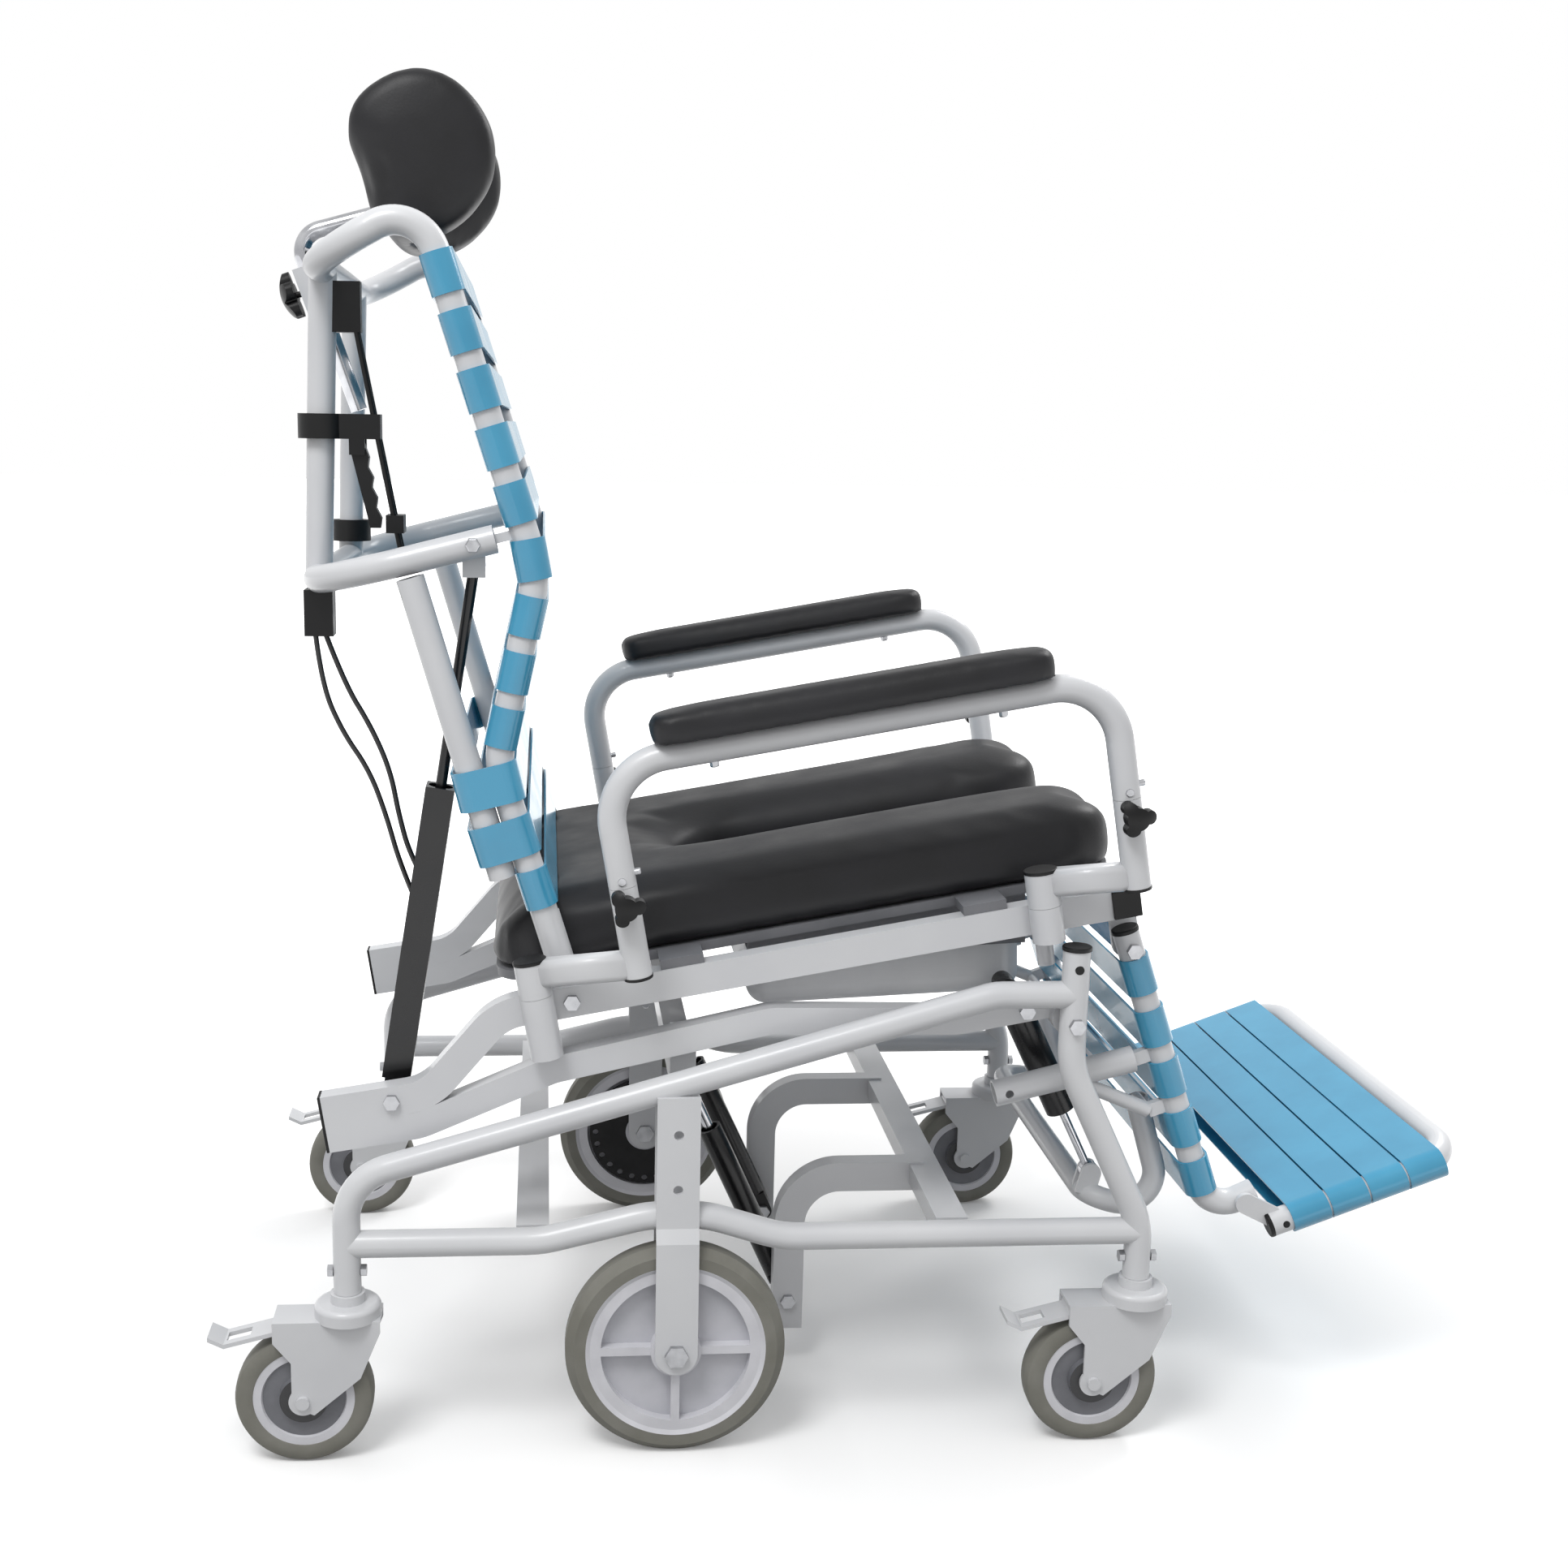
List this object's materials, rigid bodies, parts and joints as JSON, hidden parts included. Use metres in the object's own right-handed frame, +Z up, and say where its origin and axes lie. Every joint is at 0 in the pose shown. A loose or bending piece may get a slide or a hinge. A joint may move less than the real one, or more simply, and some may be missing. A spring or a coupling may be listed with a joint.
{
  "type": "tilting shower commode chair",
  "caption": "Wheeled shower commode chair with a tilting seat, reclining banded back, winged headrest, swing-away armrests, lifting legrest and fold-up footrest.",
  "frame": {"origin": "on the floor under the middle of the overall bounding box", "axes": "+X forward towards the footrest, +Y to the sitter's left, +Z up"},
  "size_m": [1.1878, 0.665, 1.2456],
  "materials": {
    "frame_paint": "light grey powder coat",
    "band_blue": "smooth blue synthetic band",
    "upholstery": "soft black polyurethane skin",
    "fork_steel": "zinc-plated pressing",
    "tyre_grey": "grey soft tyre on a light wheel",
    "black_plastic": "black moulding",
    "bolt_steel": "plated fastener",
    "pan_plastic": "light moulded tray",
    "board_plastic": "grey panel",
    "spring_black": "black spring tube",
    "rod_chrome": "polished rod",
    "cable_black": "black cable sheath"
  },
  "bodies": {
    "base": {"base_side_right": "frame_paint", "base_side_left": "frame_paint", "base_cross_front": "frame_paint", "base_cross_rear": "frame_paint", "base_bolts": "bolt_steel", "base_tube_caps": "black_plastic"},
    "fork_rear_right": {"caster_fork_rear_right": "fork_steel"},
    "wheel_rear_right": {"caster_wheel_rear_right": "tyre_grey"},
    "pedal_rear_right": {"caster_pedal_rear_right": "black_plastic"},
    "fork_rear_left": {"caster_fork_rear_left": "fork_steel"},
    "wheel_rear_left": {"caster_wheel_rear_left": "tyre_grey"},
    "pedal_rear_left": {"caster_pedal_rear_left": "black_plastic"},
    "fork_front_right": {"caster_fork_front_right": "fork_steel"},
    "wheel_front_right": {"caster_wheel_front_right": "tyre_grey"},
    "pedal_front_right": {"caster_pedal_front_right": "black_plastic"},
    "fork_front_left": {"caster_fork_front_left": "fork_steel"},
    "wheel_front_left": {"caster_wheel_front_left": "tyre_grey"},
    "pedal_front_left": {"caster_pedal_front_left": "black_plastic"},
    "centre_wheel_right": {"centre_wheel_right": "tyre_grey"},
    "centre_wheel_left": {"centre_wheel_left": "tyre_grey"},
    "seat_frame": {"seat_side_right": "frame_paint", "seat_side_left": "frame_paint", "seat_cross_front": "frame_paint", "seat_cross_rear": "frame_paint", "seat_board": "board_plastic", "seat_cushion": "upholstery", "seat_bolts": "bolt_steel"},
    "pan": {"commode_pan": "pan_plastic"},
    "arm_right": {"arm_legs_right": "frame_paint"},
    "arm_top_right": {"arm_tube_right": "frame_paint", "arm_pad_right": "upholstery"},
    "knob_rear_right": {"arm_knob_rear_right": "black_plastic"},
    "knob_front_right": {"arm_knob_front_right": "black_plastic"},
    "arm_left": {"arm_legs_left": "frame_paint"},
    "arm_top_left": {"arm_tube_left": "frame_paint", "arm_pad_left": "upholstery"},
    "knob_rear_left": {"arm_knob_rear_left": "black_plastic"},
    "knob_front_left": {"arm_knob_front_left": "black_plastic"},
    "back": {"back_side_right": "frame_paint", "back_side_left": "frame_paint", "push_frame": "frame_paint", "back_bands": "band_blue", "cable_clips": "black_plastic", "release_cords": "cable_black"},
    "headrest": {"headrest_bar": "rod_chrome", "headrest_pad": "upholstery"},
    "star": {"star_knob": "black_plastic"},
    "lever": {"release_lever": "black_plastic"},
    "recline_housing": {"recline_cylinder": "spring_black"},
    "recline_piston": {"recline_rod": "rod_chrome"},
    "tilt_springs": {"tilt_cylinders": "spring_black"},
    "tilt_pistons": {"tilt_rods": "rod_chrome"},
    "legrest": {"leg_side_right": "frame_paint", "leg_side_left": "frame_paint", "leg_strut": "frame_paint", "leg_bands": "band_blue"},
    "lift_cylinder": {"leg_cylinder": "spring_black"},
    "lift_piston": {"leg_rod": "rod_chrome"},
    "footrest": {"foot_frame": "frame_paint", "foot_bands": "band_blue"}
  },
  "joints": [
    {"name": "swivel_rear_right", "type": "hinge", "parent": "base", "child": "fork_rear_right", "pos_m": [-0.47, -0.281, 0.15], "axis": [0, 0, 1], "continuous": true},
    {"name": "roll_rear_right", "type": "hinge", "parent": "fork_rear_right", "child": "wheel_rear_right", "pos_m": [-0.51, -0.281, 0.0625], "axis": [0, 1, 0], "continuous": true},
    {"name": "lock_rear_right", "type": "hinge", "parent": "fork_rear_right", "child": "pedal_rear_right", "pos_m": [-0.53, -0.281, 0.129], "axis": [0, -1, 0], "range_deg": [0, 12]},
    {"name": "swivel_rear_left", "type": "hinge", "parent": "base", "child": "fork_rear_left", "pos_m": [-0.47, 0.281, 0.15], "axis": [0, 0, 1], "continuous": true},
    {"name": "roll_rear_left", "type": "hinge", "parent": "fork_rear_left", "child": "wheel_rear_left", "pos_m": [-0.51, 0.281, 0.0625], "axis": [0, 1, 0], "continuous": true},
    {"name": "lock_rear_left", "type": "hinge", "parent": "fork_rear_left", "child": "pedal_rear_left", "pos_m": [-0.53, 0.281, 0.129], "axis": [0, -1, 0], "range_deg": [0, 12]},
    {"name": "swivel_front_right", "type": "hinge", "parent": "base", "child": "fork_front_right", "pos_m": [0.26, -0.281, 0.15], "axis": [0, 0, 1], "continuous": true},
    {"name": "roll_front_right", "type": "hinge", "parent": "fork_front_right", "child": "wheel_front_right", "pos_m": [0.22, -0.281, 0.0625], "axis": [0, 1, 0], "continuous": true},
    {"name": "lock_front_right", "type": "hinge", "parent": "fork_front_right", "child": "pedal_front_right", "pos_m": [0.2, -0.281, 0.129], "axis": [0, -1, 0], "range_deg": [0, 12]},
    {"name": "swivel_front_left", "type": "hinge", "parent": "base", "child": "fork_front_left", "pos_m": [0.26, 0.281, 0.15], "axis": [0, 0, 1], "continuous": true},
    {"name": "roll_front_left", "type": "hinge", "parent": "fork_front_left", "child": "wheel_front_left", "pos_m": [0.22, 0.281, 0.0625], "axis": [0, 1, 0], "continuous": true},
    {"name": "lock_front_left", "type": "hinge", "parent": "fork_front_left", "child": "pedal_front_left", "pos_m": [0.2, 0.281, 0.129], "axis": [0, -1, 0], "range_deg": [0, 12]},
    {"name": "centre_roll_right", "type": "hinge", "parent": "base", "child": "centre_wheel_right", "pos_m": [-0.172, -0.281, 0.1015], "axis": [0, 1, 0], "continuous": true},
    {"name": "centre_roll_left", "type": "hinge", "parent": "base", "child": "centre_wheel_left", "pos_m": [-0.172, 0.281, 0.1015], "axis": [0, 1, 0], "continuous": true},
    {"name": "tilt", "type": "hinge", "parent": "base", "child": "seat_frame", "pos_m": [0.187, 0, 0.4086], "axis": [0, -1, 0], "range_deg": [-10, 5]},
    {"name": "pan_slide", "type": "slide", "parent": "seat_frame", "child": "pan", "axis": [-0.9986, 0, -0.0523], "range_m": [0, 0.2]},
    {"name": "arm_swing_right", "type": "hinge", "parent": "seat_frame", "child": "arm_right", "pos_m": [-0.29846, -0.27, 0.42689], "axis": [0.1754, 0, -0.9845], "range_deg": [0, 100]},
    {"name": "arm_height_right", "type": "slide", "parent": "arm_right", "child": "arm_top_right", "axis": [-0.1754, 0, 0.9845], "range_m": [0, 0.045]},
    {"name": "knob_rear_right", "type": "hinge", "parent": "arm_right", "child": "knob_rear_right", "pos_m": [-0.22198, -0.32, 0.52787], "axis": [0, -1, 0], "continuous": true},
    {"name": "knob_front_right", "type": "hinge", "parent": "arm_right", "child": "knob_front_right", "pos_m": [0.22104, -0.32, 0.60678], "axis": [0, -1, 0], "continuous": true},
    {"name": "arm_swing_left", "type": "hinge", "parent": "seat_frame", "child": "arm_left", "pos_m": [-0.29846, 0.27, 0.42689], "axis": [-0.1754, 0, 0.9845], "range_deg": [0, 100]},
    {"name": "arm_height_left", "type": "slide", "parent": "arm_left", "child": "arm_top_left", "axis": [-0.1754, 0, 0.9845], "range_m": [0, 0.045]},
    {"name": "knob_rear_left", "type": "hinge", "parent": "arm_left", "child": "knob_rear_left", "pos_m": [-0.22198, 0.32, 0.52787], "axis": [0, 1, 0], "continuous": true},
    {"name": "knob_front_left", "type": "hinge", "parent": "arm_left", "child": "knob_front_left", "pos_m": [0.22104, 0.32, 0.60678], "axis": [0, 1, 0], "continuous": true},
    {"name": "recline", "type": "hinge", "parent": "seat_frame", "child": "back", "pos_m": [-0.26752, 0, 0.42427], "axis": [0, -1, 0], "range_deg": [0, 40]},
    {"name": "headrest_slide", "type": "slide", "parent": "back", "child": "headrest", "axis": [-0.3355, 0, 0.9421], "range_m": [0, 0.08]},
    {"name": "star_turn", "type": "hinge", "parent": "back", "child": "star", "pos_m": [-0.5245, 0, 1.0535], "axis": [-0.9421, 0, -0.3355], "continuous": true},
    {"name": "lever_pull", "type": "hinge", "parent": "back", "child": "lever", "pos_m": [-0.46, -0.145, 0.912], "axis": [0, 1, 0], "range_deg": [0, 10], "stiffness_Nm_per_rad": 1},
    {"name": "recline_foot", "type": "hinge", "parent": "seat_frame", "child": "recline_housing", "pos_m": [-0.43, -0.209, 0.33196], "axis": [0, -1, 0], "range_deg": [-2, 35]},
    {"name": "recline_head", "type": "hinge", "parent": "back", "child": "recline_piston", "pos_m": [-0.354, -0.209, 0.812], "axis": [0, -1, 0], "range_deg": [-8, 2]},
    {"name": "tilt_foot", "type": "hinge", "parent": "base", "child": "tilt_springs", "pos_m": [-0.048, 0, 0.072], "axis": [0, -1, 0], "range_deg": [-4, 3]},
    {"name": "tilt_head", "type": "hinge", "parent": "seat_frame", "child": "tilt_pistons", "pos_m": [-0.165, 0, 0.326], "axis": [0, -1, 0], "range_deg": [-5, 9]},
    {"name": "leg_lift", "type": "hinge", "parent": "seat_frame", "child": "legrest", "pos_m": [0.25371, 0, 0.46329], "axis": [0, -1, 0], "range_deg": [-8, 45]},
    {"name": "lift_foot", "type": "hinge", "parent": "seat_frame", "child": "lift_cylinder", "pos_m": [0.15, -0.172, 0.412], "axis": [0, -1, 0], "range_deg": [-9, 42]},
    {"name": "lift_head", "type": "hinge", "parent": "legrest", "child": "lift_piston", "pos_m": [0.243, -0.172, 0.221], "axis": [0, -1, 0], "range_deg": [-7, 3]},
    {"name": "foot_fold", "type": "hinge", "parent": "legrest", "child": "footrest", "pos_m": [0.37718, 0, 0.21321], "axis": [0, -1, 0], "range_deg": [0, 80]}
  ],
  "couplings": [
    {"joint": "recline_foot", "follows": "recline", "ratio": 0.82},
    {"joint": "recline_head", "follows": "recline", "ratio": -0.18},
    {"joint": "tilt_foot", "follows": "tilt", "ratio": 0.2775},
    {"joint": "tilt_head", "follows": "tilt", "ratio": -0.7225},
    {"joint": "lift_foot", "follows": "leg_lift", "ratio": 0.885},
    {"joint": "lift_head", "follows": "leg_lift", "ratio": -0.115}
  ]
}
